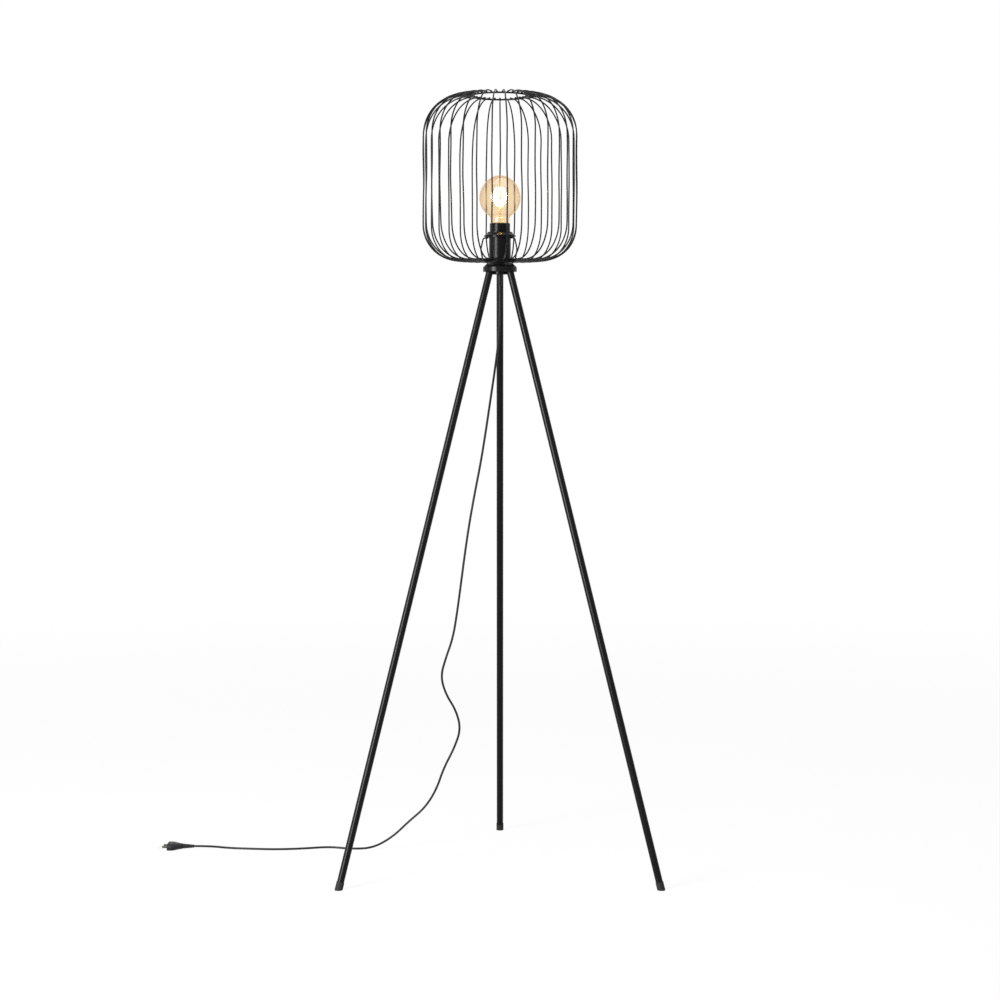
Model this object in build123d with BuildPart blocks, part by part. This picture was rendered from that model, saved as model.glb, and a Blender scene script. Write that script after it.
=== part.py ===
from build123d import *
import os
from math import atan, cos, degrees, pi, radians, sin, sqrt, tan

# Wire cage floor lamp on three splayed tube legs.
# Frame: millimetres, +Z up, origin on the floor under the lamp's axis,
# the rear leg towards +Y and the cord running off towards -X.

# ---------------------------------------------------------------- driving sizes

# Tripod
foot_circle_radius = 347.0
hub_bottom = 1154.2
leg_circle_at_hub = 22.5
leg_diameter = 13.5
leg_wall = 1.2
rear_leg_azimuth = 90.0
leg_spacing_angle = 120.0
leg_socket_depth = 5.0
foot_cap_wall = 0.6
foot_cap_height = 15.0
foot_cap_web = 5.0
foot_cap_edge = 0.5
stud_diameter = 6.0
stud_grip = 9.0
insert_length = 22.0

# Tripod head
hub_rim_radius = 32.5
hub_rim_height = 8.2
hub_cone_height = 11.2
hub_neck_radius = 21.0
hub_neck_height = 5.8
hub_wall = 2.0
hub_edge_round = 0.6
core_height = 14.8
core_pocket_depth = 7.8
core_pocket_radius = 10.0
gland_radius = 15.0
gland_height = 5.4
gland_stem_height = 2.4
gland_edge_round = 1.2
relief_length = 22.0
relief_top_radius = 4.4
relief_end_radius = 3.1
nipple_radius = 5.0
nipple_bore_radius = 3.6
nipple_top_above_hub = 8.5
nipple_end_below_nut = 0.5
nut_across_flats = 14.0
nut_height = 4.0
washer_radius = 9.0
washer_thickness = 1.0

# Lampholder
base_radius = 20.8
base_height = 39.6
base_wall = 2.2
base_floor = 6.0
base_edge_round = 0.9
sleeve_radius = 19.5
sleeve_height = 27.0
sleeve_skirt_height = 12.0
sleeve_mouth_wall = 2.2
sleeve_mouth_depth = 15.0
sleeve_lip_round = 0.7
shade_ring_radius = 30.5
shade_ring_height = 8.9
shade_ring_brim = 2.2
shade_ring_top_radius = 23.9
brim_edge_round = 0.7
insert_thickness = 14.0
ledge_width = 2.1
screw_shell_radius = 13.5
screw_shell_wall = 0.6
screw_shell_height = 22.5
strip_thickness = 0.8
strip_width = 5.0
button_radius = 3.5
button_height = 1.2
terminal_spacing = 18.0
terminal_size = 6.0
rivet_radius = 1.4
terminal_screw_radius = 1.5
terminal_screw_head = 2.6
terminal_hole_depth = 4.2
terminal_screw_depth = 3.6

# Cage
cage_radius = 146.4
cage_wire = 2.8
cage_ring_wire = 3.4
cage_wires = 33
cage_first_azimuth = -84.9
cage_height = 314.0
top_ring_radius = 54.2
top_flat = 13.5
bottom_ring_radius = 30.0
bottom_flat = 49.6
wire_end_past_ring = 2.2
weld_sink = 0.3
carrier_radius = 28.0
carrier_thickness = 1.5
carrier_drop = 42.0
arm_count = 3
arm_gap = 4.5
arm_start_radius = 25.0
arm_shoulder_radius = 34.5
arm_shoulder_bend = 5.0
arm_bow_radius = 40.2
arm_bow_share = 0.53
arm_bow_bend = 22.0
arm_foot_radius = 35.6
arm_foot_bend = 6.5
wires_per_node = 3

# Bulb
bulb_height = 128.0
globe_share = 0.3086
crown_rise_share = 0.0305
crown_side_share = 1.41
bulb_neck_share = 0.143
bulb_neck_blend = 10.0
bulb_cap_radius = 13.2
bulb_cap_wall = 0.4
bulb_cap_height = 23.5
bulb_foot_height = 4.0
glass_wall = 0.9
glass_foot_above_cap = 0.5
glass_neck_taper_share = 0.726
glass_seat_depth = 4.0
stem_radius = 3.0
stem_height = 34.0
stem_flare_height = 14.0
solder_button_height = 1.6
filament_radius = 1.2
filament_count = 4
filament_rise = 33.0
filament_first_azimuth = 22.5
filament_low_circle = 4.0
filament_bow_circle = 11.5
filament_high_circle = 7.0
filament_above_stem = 9.0
support_radius = 0.5
spoke_radius = 0.4

# Cord and plug
cord_diameter = 4.4
core_radius = 0.9
core_spacing = 2.4
core_bend = 2.2
jacket_into_nipple = 1.5
cord_bend_share = 0.45
plug_width = 35.3
plug_thickness = 13.8
plug_front_length = 9.0
plug_taper_length = 20.0
plug_back_radius = 5.2
plug_back_width = 17.3
plug_relief_length = 24.0
plug_relief_end = 3.1
pin_radius = 2.0
pin_length = 19.0
pin_spacing = 19.0
pin_end_round = 1.0

# Clearances
slip_fit = 0.1
core_fit = 0.3
thread_fit = 0.3
bulb_fit = 0.3
cord_fit = 0.2

# Cord route from the strain relief to the plug, chosen along the hanging and lying cord
cord_points = [
    (0, 0, 1126.8),
    (0, 0, 1088),
    (-1.5, 6, 1032),
    (-9, 14, 972),
    (-18, 22, 912),
    (-27, 31, 851),
    (-37, 41, 789),
    (-49, 50, 728),
    (-60, 60, 667),
    (-69, 70, 606),
    (-77, 80, 545),
    (-85, 90, 486),
    (-93, 98, 438),
    (-107, 105, 398),
    (-118, 112, 360),
    (-108, 119, 323),
    (-88, 126, 290),
    (-78, 132, 251),
    (-92, 139, 210),
    (-113, 146, 169),
    (-128, 153, 124),
    (-151, 160, 86),
    (-185, 166, 56),
    (-217, 171, 24),
    (-257, 166, 2.2),
    (-301, 159, 2.2),
    (-346, 178, 2.2),
    (-396, 162, 2.2),
    (-450, 154, 2.2),
    (-505, 160, 2.2),
    (-549, 167, 2.2),
    (-585, 163, 6.9),
    (-618, 163, 6.9),
]

# ---------------------------------------------------------------- places worked out

leg_azimuths = {
    "rear": rear_leg_azimuth,
    "left": rear_leg_azimuth + leg_spacing_angle,
    "right": rear_leg_azimuth - leg_spacing_angle,
}
leg_radius = leg_diameter / 2
leg_bore_radius = leg_radius - leg_wall
stud_radius = stud_diameter / 2
leg_lean = degrees(atan((foot_circle_radius - leg_circle_at_hub) / hub_bottom))
leg_length = hub_bottom / cos(radians(leg_lean))

hub_cone_bottom = hub_bottom + hub_rim_height
hub_neck_bottom = hub_cone_bottom + hub_cone_height
hub_top = hub_neck_bottom + hub_neck_height
hub_cone_lean = degrees(atan((hub_rim_radius - hub_neck_radius) / hub_cone_height))
hub_inner_drop = hub_wall * tan(radians(hub_cone_lean / 2))
core_top = hub_bottom + core_height
core_nut_bottom = hub_bottom + core_pocket_depth - nut_height
shell_washer_bottom = hub_top - hub_wall - washer_thickness
nipple_bottom = core_nut_bottom - nipple_end_below_nut
relief_end_z = hub_bottom - gland_height - relief_length

base_top = hub_top + base_height
base_bore_radius = base_radius - base_wall
sleeve_top = base_top + sleeve_height
sleeve_bottom = base_top - sleeve_skirt_height
sleeve_skirt_radius = base_bore_radius - core_fit
ceramic_top = sleeve_bottom
ceramic_bottom = ceramic_top - insert_thickness
carrier_top = base_top + carrier_thickness
shade_ring_bottom = carrier_top + slip_fit

cage_wire_radius = cage_wire / 2
cage_ring_wire_radius = cage_ring_wire / 2
wire_bottom_z = base_top - carrier_drop - cage_wire_radius
wire_top_z = wire_bottom_z + cage_height
wire_step = 360 / cage_wires
top_corner_radius = cage_radius - top_ring_radius - top_flat
bottom_corner_radius = cage_radius - bottom_ring_radius - bottom_flat
ring_to_wire = cage_ring_wire_radius + cage_wire_radius - weld_sink
top_ring_z = wire_top_z - ring_to_wire
bottom_ring_z = wire_bottom_z - ring_to_wire

bulb_bottom = ceramic_top + strip_thickness + button_height + bulb_fit
bulb_cap_bottom = bulb_bottom + bulb_foot_height
bulb_cap_top = bulb_cap_bottom + bulb_cap_height
globe_radius = globe_share * bulb_height
crown_rise = crown_rise_share * bulb_height
bulb_neck_radius = bulb_neck_share * bulb_height
globe_centre = bulb_bottom + bulb_height - globe_radius - crown_rise
crown_shift = crown_side_share * crown_rise
crown_angle = pi / 2 - 2 * atan(1 - 1 / crown_side_share)
stem_bottom = bulb_cap_top + glass_foot_above_cap
stem_top = stem_bottom + stem_height
blend_reach = globe_radius + bulb_neck_blend
blend_drop = sqrt(blend_reach**2 - (bulb_neck_radius + bulb_neck_blend) ** 2)
glass_shoulder = stem_bottom + glass_neck_taper_share * (globe_centre - blend_drop - stem_bottom)
filament_bottom = stem_top + filament_above_stem

cord_radius = cord_diameter / 2

os.makedirs("parts", exist_ok=True)


def save(piece, name):
    """Label a finished piece with its node's name and write it."""
    piece.part.label = name
    export_step(piece.part, f"parts/{name}.step")


def leg_plane(azimuth, distance):
    """Plane square to a leg's axis, a distance below the tripod head's underside."""
    outward = Vector(cos(radians(azimuth)), sin(radians(azimuth)), 0)
    lean = radians(leg_lean)
    along = outward * sin(lean) - Vector(0, 0, 1) * cos(lean)
    start = outward * leg_circle_at_hub + Vector(0, 0, hub_bottom)
    return Plane(origin=start + along * distance, z_dir=along)


# ---------------------------------------------------------------- tripod

for side, azimuth in leg_azimuths.items():
    # Leg: a straight steel tube, its top in the head's socket.
    tube_length = leg_socket_depth + leg_length - foot_cap_web
    with BuildPart() as leg:
        with BuildSketch(leg_plane(azimuth, -leg_socket_depth)):
            Circle(leg_radius)
            Circle(leg_bore_radius, mode=Mode.SUBTRACT)
        extrude(amount=tube_length)
    save(leg, f"leg_{side}")

    # Foot: a cap pushed over the tube's end, cut level with the floor.
    with BuildPart() as foot:
        with BuildSketch(leg_plane(azimuth, leg_length - foot_cap_height)):
            Circle(leg_radius + slip_fit + foot_cap_wall)
        extrude(amount=foot_cap_height + leg_diameter)
        with BuildSketch(leg_plane(azimuth, leg_length - foot_cap_height)):
            Circle(leg_radius + slip_fit)
        extrude(amount=foot_cap_height - foot_cap_web, mode=Mode.SUBTRACT)
        split(bisect_by=Plane.XY, keep=Keep.TOP)
        fillet(foot.faces().sort_by(Axis.Z)[0].edges(), foot_cap_edge)
    save(foot, f"foot_{side}")

# Threaded plugs pressed into the tops of the tubes.
with BuildPart() as leg_inserts:
    for azimuth in leg_azimuths.values():
        with BuildSketch(leg_plane(azimuth, -leg_socket_depth)):
            Circle(leg_bore_radius - slip_fit)
            Circle(stud_radius + slip_fit, mode=Mode.SUBTRACT)
        extrude(amount=insert_length)
save(leg_inserts, "leg_inserts")

# Studs that join the tubes to the head.
with BuildPart() as leg_studs:
    for azimuth in leg_azimuths.values():
        with BuildSketch(leg_plane(azimuth, -leg_socket_depth - stud_grip)):
            Circle(stud_radius)
        extrude(amount=stud_grip + insert_length)
save(leg_studs, "leg_studs")

# ---------------------------------------------------------------- tripod head

# Spun steel shell: rim, cone and neck, open below.
with BuildPart() as hub_shell:
    with BuildSketch(Plane.XZ):
        with BuildLine():
            Polyline(
                (nipple_radius + slip_fit, hub_top),
                (hub_neck_radius, hub_top),
                (hub_neck_radius, hub_neck_bottom),
                (hub_rim_radius, hub_cone_bottom),
                (hub_rim_radius, hub_bottom),
                (hub_rim_radius - hub_wall, hub_bottom),
                (hub_rim_radius - hub_wall, hub_cone_bottom - hub_inner_drop),
                (hub_neck_radius - hub_wall, hub_neck_bottom - hub_inner_drop),
                (hub_neck_radius - hub_wall, hub_top - hub_wall),
                (nipple_radius + slip_fit, hub_top - hub_wall),
                close=True,
            )
        make_face()
    revolve(axis=Axis.Z)
    rim_edges = hub_shell.edges().filter_by(GeomType.CIRCLE).filter_by(
        lambda edge: edge.radius > hub_neck_radius - hub_wall / 2
    )
    fillet(rim_edges, hub_edge_round)
save(hub_shell, "hub_shell")

# Solid core that the legs screw into, under the shell's cone.
core_rim = hub_rim_radius - hub_wall - core_fit
core_cone_bottom = hub_cone_bottom - hub_inner_drop - core_fit
core_top_radius = core_rim - (core_top - core_cone_bottom) * tan(radians(hub_cone_lean))
with BuildPart() as hub_core:
    with BuildSketch(Plane.XZ):
        with BuildLine():
            Polyline(
                (0, hub_bottom),
                (core_rim, hub_bottom),
                (core_rim, core_cone_bottom),
                (core_top_radius, core_top),
                (0, core_top),
                close=True,
            )
        make_face()
    revolve(axis=Axis.Z)
    with BuildSketch(Plane.XY.offset(hub_bottom)):
        Circle(core_pocket_radius)
    extrude(amount=core_pocket_depth, mode=Mode.SUBTRACT)
    with BuildSketch(Plane.XY.offset(hub_bottom)):
        Circle(nipple_radius + slip_fit)
    extrude(amount=core_height, mode=Mode.SUBTRACT)
    for azimuth in leg_azimuths.values():
        with BuildSketch(leg_plane(azimuth, -leg_socket_depth)):
            Circle(leg_radius + slip_fit)
        extrude(amount=leg_socket_depth + leg_diameter, mode=Mode.SUBTRACT)
        with BuildSketch(leg_plane(azimuth, -leg_socket_depth - stud_grip)):
            Circle(stud_radius + slip_fit)
        extrude(amount=stud_grip, mode=Mode.SUBTRACT)
save(hub_core, "hub_core")

# Threaded nipple up through the head into the lampholder, with its nuts and washer.
with BuildPart() as nipple:
    with BuildSketch(Plane.XY.offset(nipple_bottom)):
        Circle(nipple_radius)
        Circle(nipple_bore_radius, mode=Mode.SUBTRACT)
    extrude(amount=hub_top + nipple_top_above_hub - nipple_bottom)
save(nipple, "nipple")

nut_places = {"core_nut": core_nut_bottom, "shell_nut": shell_washer_bottom - nut_height}
for name, height in nut_places.items():
    with BuildPart() as nut:
        with BuildSketch(Plane.XY.offset(height)):
            RegularPolygon(nut_across_flats / 2, 6, major_radius=False)
            Circle(nipple_radius + slip_fit, mode=Mode.SUBTRACT)
        extrude(amount=nut_height)
    save(nut, name)

with BuildPart() as shell_washer:
    with BuildSketch(Plane.XY.offset(shell_washer_bottom)):
        Circle(washer_radius)
        Circle(nipple_radius + slip_fit, mode=Mode.SUBTRACT)
    extrude(amount=washer_thickness)
save(shell_washer, "shell_washer")

# Cord gland: the small disc under the head, pressed into the core's pocket.
with BuildPart() as cord_gland:
    with BuildSketch(Plane.XY.offset(hub_bottom - gland_height)):
        Circle(gland_radius)
    extrude(amount=gland_height)
    with BuildSketch(Plane.XY.offset(hub_bottom)):
        Circle(core_pocket_radius - slip_fit)
    extrude(amount=gland_stem_height)
    with BuildSketch(Plane.XY.offset(hub_bottom - gland_height)):
        Circle(cord_radius + cord_fit)
    extrude(amount=gland_height + gland_stem_height, mode=Mode.SUBTRACT)
    fillet(cord_gland.edges().group_by(Axis.Z)[0].sort_by(SortBy.RADIUS)[-1], gland_edge_round)
save(cord_gland, "cord_gland")

# Tapered strain relief below the gland.
with BuildPart() as cord_relief:
    with BuildSketch(Plane.XZ):
        with BuildLine():
            Polyline(
                (cord_radius + cord_fit, hub_bottom - gland_height),
                (relief_top_radius, hub_bottom - gland_height),
                (relief_end_radius, relief_end_z),
                (cord_radius + cord_fit, relief_end_z),
                close=True,
            )
        make_face()
    revolve(axis=Axis.Z)
save(cord_relief, "cord_relief")

# ---------------------------------------------------------------- lampholder

# Base cup with a threaded entry in its floor and a ledge for the ceramic.
ledge_radius = base_bore_radius - ledge_width
with BuildPart() as holder_base:
    with BuildSketch(Plane.XZ):
        with BuildLine():
            Polyline(
                (nipple_radius + slip_fit, hub_top),
                (base_radius, hub_top),
                (base_radius, base_top),
                (base_bore_radius, base_top),
                (base_bore_radius, ceramic_bottom),
                (ledge_radius, ceramic_bottom),
                (ledge_radius, hub_top + base_floor),
                (nipple_radius + slip_fit, hub_top + base_floor),
                close=True,
            )
        make_face()
    revolve(axis=Axis.Z)
    foot_edge = holder_base.edges().group_by(Axis.Z)[0].sort_by(SortBy.RADIUS)[-1]
    fillet(foot_edge, base_edge_round)
save(holder_base, "holder_base")

# Threaded sleeve: skirt inside the base, shoulder on its rim, wide mouth for the bulb.
sleeve_bore_radius = screw_shell_radius + screw_shell_wall + core_fit
sleeve_mouth_radius = sleeve_radius - sleeve_mouth_wall
with BuildPart() as holder_sleeve:
    with BuildSketch(Plane.XZ):
        with BuildLine():
            Polyline(
                (sleeve_bore_radius, sleeve_bottom),
                (sleeve_skirt_radius, sleeve_bottom),
                (sleeve_skirt_radius, base_top),
                (sleeve_radius, base_top),
                (sleeve_radius, sleeve_top),
                (sleeve_mouth_radius, sleeve_top),
                (sleeve_mouth_radius, sleeve_top - sleeve_mouth_depth),
                (sleeve_bore_radius, sleeve_top - sleeve_mouth_depth),
                close=True,
            )
        make_face()
    revolve(axis=Axis.Z)
    fillet(holder_sleeve.edges().group_by(Axis.Z)[-1], sleeve_lip_round)
save(holder_sleeve, "holder_sleeve")

# Shade ring: threaded collar with a sloping brim that clamps the cage's carrier ring.
with BuildPart() as shade_ring:
    ring_bore = sleeve_radius + thread_fit
    ring_top = shade_ring_bottom + shade_ring_height
    with BuildSketch(Plane.XZ):
        with BuildLine():
            Polyline(
                (ring_bore, shade_ring_bottom),
                (shade_ring_radius, shade_ring_bottom),
                (shade_ring_radius, shade_ring_bottom + shade_ring_brim),
                (shade_ring_top_radius, ring_top - carrier_thickness),
                (shade_ring_top_radius, ring_top),
                (ring_bore, ring_top),
                close=True,
            )
        make_face()
    revolve(axis=Axis.Z)
    brim_edges = shade_ring.edges().filter_by(GeomType.CIRCLE).sort_by(SortBy.RADIUS)[-2:]
    fillet(brim_edges, brim_edge_round)
save(shade_ring, "shade_ring")

# Ceramic insert that carries the contacts.
with BuildPart() as ceramic_insert:
    with BuildSketch(Plane.XY.offset(ceramic_bottom)):
        Circle(base_bore_radius - core_fit)
        with GridLocations(terminal_spacing, 0, 2, 1):
            Circle(rivet_radius + slip_fit, mode=Mode.SUBTRACT)
    extrude(amount=insert_thickness)
save(ceramic_insert, "ceramic_insert")

# Brass screw shell that the bulb turns into.
with BuildPart() as screw_shell:
    with BuildSketch(Plane.XY.offset(ceramic_top)):
        Circle(screw_shell_radius + screw_shell_wall)
        Circle(screw_shell_radius, mode=Mode.SUBTRACT)
    extrude(amount=screw_shell_height)
save(screw_shell, "screw_shell")

# Contact strips on the ceramic: one to the centre button, one to the screw shell.
terminal_x = terminal_spacing / 2
with BuildPart() as centre_contact:
    with BuildSketch(Plane.XY.offset(ceramic_top)):
        with Locations(((button_radius - terminal_x - strip_width / 2) / 2, 0)):
            Rectangle(button_radius + terminal_x + strip_width / 2, strip_width)
    extrude(amount=strip_thickness)
    with BuildSketch(Plane.XY.offset(ceramic_top + strip_thickness)):
        Circle(button_radius)
    extrude(amount=button_height)
save(centre_contact, "centre_contact")

side_strip_start = terminal_x - strip_width / 2
side_strip_length = sqrt(screw_shell_radius**2 - (strip_width / 2) ** 2) - side_strip_start
with BuildPart() as side_contact:
    with BuildSketch(Plane.XY.offset(ceramic_top)):
        with Locations((side_strip_start + side_strip_length / 2, 0)):
            Rectangle(side_strip_length, strip_width)
    extrude(amount=strip_thickness)
save(side_contact, "side_contact")

# Rivets through the ceramic, terminal blocks under it and their screws.
with BuildPart() as contact_rivets:
    with BuildSketch(Plane.XY.offset(ceramic_bottom)):
        with GridLocations(terminal_spacing, 0, 2, 1):
            Circle(rivet_radius)
    extrude(amount=insert_thickness)
save(contact_rivets, "contact_rivets")

with BuildPart() as terminal_blocks:
    with BuildSketch(Plane.XY.offset(ceramic_bottom - terminal_size)):
        with GridLocations(terminal_spacing, 0, 2, 1):
            Rectangle(terminal_size, terminal_size)
    extrude(amount=terminal_size)
    with BuildSketch(Plane.XZ.offset(terminal_size / 2)):
        with Locations((0, ceramic_bottom - terminal_size / 2)):
            with GridLocations(terminal_spacing, 0, 2, 1):
                Circle(terminal_screw_radius + slip_fit)
    extrude(amount=-terminal_hole_depth, mode=Mode.SUBTRACT)
save(terminal_blocks, "terminal_blocks")

with BuildPart() as terminal_screws:
    with BuildSketch(Plane.XZ.offset(terminal_size / 2)):
        with Locations((0, ceramic_bottom - terminal_size / 2)):
            with GridLocations(terminal_spacing, 0, 2, 1):
                Circle(terminal_screw_radius)
    extrude(amount=-terminal_screw_depth)
    with BuildSketch(Plane.XZ.offset(terminal_size / 2)):
        with Locations((0, ceramic_bottom - terminal_size / 2)):
            with GridLocations(terminal_spacing, 0, 2, 1):
                Circle(terminal_screw_head)
    extrude(amount=terminal_screw_radius)
save(terminal_screws, "terminal_screws")

# ---------------------------------------------------------------- cage

ring_sizes = {
    "top_ring": (top_ring_radius, top_ring_z),
    "bottom_ring": (bottom_ring_radius, bottom_ring_z),
}
for name, (radius, height) in ring_sizes.items():
    with BuildPart() as ring:
        with BuildSketch(Plane.XZ):
            with Locations((radius, height)):
                Circle(cage_ring_wire_radius)
        revolve(axis=Axis.Z)
    save(ring, name)

# One cage wire: from the top ring out, down the side and in to the bottom ring.
with BuildPart() as one_wire:
    with BuildLine(Plane.XZ) as wire_path:
        FilletPolyline(
            (top_ring_radius - wire_end_past_ring, wire_top_z),
            (cage_radius, wire_top_z),
            (cage_radius, wire_bottom_z),
            (bottom_ring_radius - wire_end_past_ring, wire_bottom_z),
            radius=[top_corner_radius, bottom_corner_radius],
        )
    with BuildSketch(Plane(origin=wire_path.line @ 0, z_dir=wire_path.line % 0)):
        Circle(cage_wire_radius)
    sweep(path=wire_path.line)

wire_nodes = cage_wires // wires_per_node
for number in range(wire_nodes):
    with BuildPart() as wire_group:
        with PolarLocations(0, wires_per_node, cage_first_azimuth + number * wire_step):
            add(one_wire.part)
    save(wire_group, f"cage_wires_{number + 1:02d}")

# Carrier ring: the flat ring that sits on the lampholder's base under the shade ring.
with BuildPart() as carrier_ring:
    with BuildSketch(Plane.XY.offset(base_top)):
        Circle(carrier_radius)
        Circle(sleeve_radius + thread_fit, mode=Mode.SUBTRACT)
    extrude(amount=carrier_thickness)
save(carrier_ring, "carrier_ring")

# Bowed arms from the carrier ring down to the bottom ring.
arm_top_z = base_top - cage_wire_radius
arm_height = arm_top_z - wire_bottom_z
with BuildPart() as one_arm:
    with BuildLine(Plane.XZ) as arm_path:
        FilletPolyline(
            (arm_start_radius, arm_top_z),
            (arm_shoulder_radius, arm_top_z),
            (arm_bow_radius, arm_top_z - arm_height * arm_bow_share),
            (arm_foot_radius, wire_bottom_z),
            (bottom_ring_radius, wire_bottom_z),
            radius=[arm_shoulder_bend, arm_bow_bend, arm_foot_bend],
        )
    with BuildSketch(Plane(origin=arm_path.line @ 0, z_dir=arm_path.line % 0)):
        Circle(cage_wire_radius)
    sweep(path=arm_path.line)

with BuildPart() as carrier_arms:
    with PolarLocations(0, arm_count, cage_first_azimuth + arm_gap * wire_step):
        add(one_arm.part)
save(carrier_arms, "carrier_arms")

# ---------------------------------------------------------------- bulb


def glass_outline(shrink):
    """Half outline of the glass from its foot in the cap to the globe's top, inset by shrink."""
    globe = globe_radius - shrink
    side = globe + crown_shift
    crown = side - crown_shift / cos(crown_angle)
    neck = bulb_neck_radius - shrink
    blend = bulb_neck_blend + shrink
    foot = bulb_cap_radius - bulb_cap_wall - slip_fit - shrink
    foot_z = bulb_cap_top - glass_seat_depth
    blend_z = globe_centre - blend_drop
    share = globe / blend_reach
    meet = ((neck + blend) * share, globe_centre - blend_drop * share)
    turn = (side * cos(crown_angle) - crown_shift, globe_centre + side * sin(crown_angle))
    top_z = globe_centre + globe + crown_rise
    Polyline((0, foot_z), (foot, foot_z), (foot, stem_bottom), (neck, glass_shoulder), (neck, blend_z))
    RadiusArc((neck, blend_z), meet, blend)
    RadiusArc(meet, (globe, globe_centre), -globe)
    RadiusArc((globe, globe_centre), turn, -side)
    RadiusArc(turn, (0, top_z), -crown)
    Line((0, top_z), (0, foot_z))


with BuildPart() as bulb_glass:
    with BuildSketch(Plane.XZ):
        with BuildLine():
            glass_outline(0)
        make_face()
    revolve(axis=Axis.Z)
    with BuildSketch(Plane.XZ):
        with BuildLine():
            glass_outline(glass_wall)
        make_face()
    revolve(axis=Axis.Z, mode=Mode.SUBTRACT)
save(bulb_glass, "bulb_glass")

with BuildPart() as bulb_cap:
    with BuildSketch(Plane.XY.offset(bulb_cap_bottom)):
        Circle(bulb_cap_radius)
        Circle(bulb_cap_radius - bulb_cap_wall, mode=Mode.SUBTRACT)
    extrude(amount=bulb_cap_height)
save(bulb_cap, "bulb_cap")

# Glass insulator in the cap's foot, and the solder button under it.
insulator_top_radius = bulb_cap_radius - bulb_cap_wall - slip_fit
with BuildPart() as bulb_insulator:
    with BuildSketch(Plane.XZ):
        with BuildLine():
            Polyline(
                (0, bulb_bottom + solder_button_height),
                (button_radius + 2 * slip_fit, bulb_bottom + solder_button_height),
                (insulator_top_radius, bulb_cap_bottom),
                (insulator_top_radius, bulb_cap_bottom + solder_button_height),
                (0, bulb_cap_bottom + solder_button_height),
                close=True,
            )
        make_face()
    revolve(axis=Axis.Z)
save(bulb_insulator, "bulb_insulator")

with BuildPart() as bulb_contact:
    with BuildSketch(Plane.XY.offset(bulb_bottom)):
        Circle(button_radius)
    extrude(amount=solder_button_height)
save(bulb_contact, "bulb_contact")

# Glass stem flared to the neck, the filaments and the wires that hold them.
stem_flare = bulb_cap_radius - bulb_cap_wall - slip_fit - glass_wall - slip_fit
with BuildPart() as bulb_stem:
    with BuildSketch(Plane.XZ):
        with BuildLine():
            Polyline(
                (0, stem_bottom - glass_foot_above_cap - 2 * glass_wall),
                (stem_flare, stem_bottom - glass_foot_above_cap - 2 * glass_wall),
                (stem_flare, stem_bottom - glass_foot_above_cap),
                (stem_radius, stem_bottom + stem_flare_height),
                (stem_radius, stem_top),
                (0, stem_top),
                close=True,
            )
        make_face()
    revolve(axis=Axis.Z)
save(bulb_stem, "bulb_stem")

filament_top = filament_bottom + filament_rise
with BuildPart() as one_filament:
    with BuildLine(Plane.XZ) as filament_path:
        ThreePointArc(
            (filament_low_circle, filament_bottom),
            (filament_bow_circle, filament_bottom + filament_rise / 2),
            (filament_high_circle, filament_top),
        )
    with BuildSketch(Plane(origin=filament_path.line @ 0, z_dir=filament_path.line % 0)):
        Circle(filament_radius)
    sweep(path=filament_path.line)

with BuildPart() as bulb_filaments:
    with PolarLocations(0, filament_count, filament_first_azimuth):
        add(one_filament.part)
save(bulb_filaments, "bulb_filaments")

with BuildPart() as bulb_supports:
    mast_top = filament_top + filament_radius
    with BuildSketch(Plane.XY.offset(stem_top)):
        Circle(support_radius)
    extrude(amount=mast_top - stem_top)
    for number in range(filament_count):
        azimuth = radians(filament_first_azimuth + number * 360 / filament_count)
        reach = Vector(cos(azimuth), sin(azimuth), 0)
        spokes = [
            (Vector(0, 0, mast_top - support_radius), filament_high_circle, mast_top),
            (Vector(0, 0, stem_top + support_radius), filament_low_circle, filament_bottom),
        ]
        for hub_point, circle, tip_z in spokes:
            lift = support_radius if tip_z == mast_top else -support_radius - slip_fit
            tip = reach * circle + Vector(0, 0, tip_z + lift)
            with BuildSketch(Plane(origin=hub_point, z_dir=tip - hub_point)):
                Circle(spoke_radius)
            extrude(amount=(tip - hub_point).length)
save(bulb_supports, "bulb_supports")

# ---------------------------------------------------------------- cord and plug

# Jacketed lead inside the strain relief and gland, up to the nipple.
with BuildPart() as lead_in_hub:
    with BuildSketch(Plane.XY.offset(relief_end_z)):
        Circle(cord_radius)
    extrude(amount=nipple_bottom + jacket_into_nipple - relief_end_z)
save(lead_in_hub, "lead_in_hub")

# The two insulated cores from the jacket's end to the terminal blocks.
terminal_z = ceramic_bottom - terminal_size / 2
with BuildPart() as lead_cores:
    for side in (-1, 1):
        with BuildLine(Plane.XZ) as core_path:
            FilletPolyline(
                (side * core_spacing / 2, nipple_bottom + jacket_into_nipple),
                (side * core_spacing / 2, terminal_z),
                (side * (terminal_x - terminal_size / 2), terminal_z),
                radius=[core_bend],
            )
        with BuildSketch(Plane(origin=core_path.line @ 0, z_dir=core_path.line % 0)):
            Circle(core_radius)
        sweep(path=core_path.line)
save(lead_cores, "lead_cores")

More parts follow.
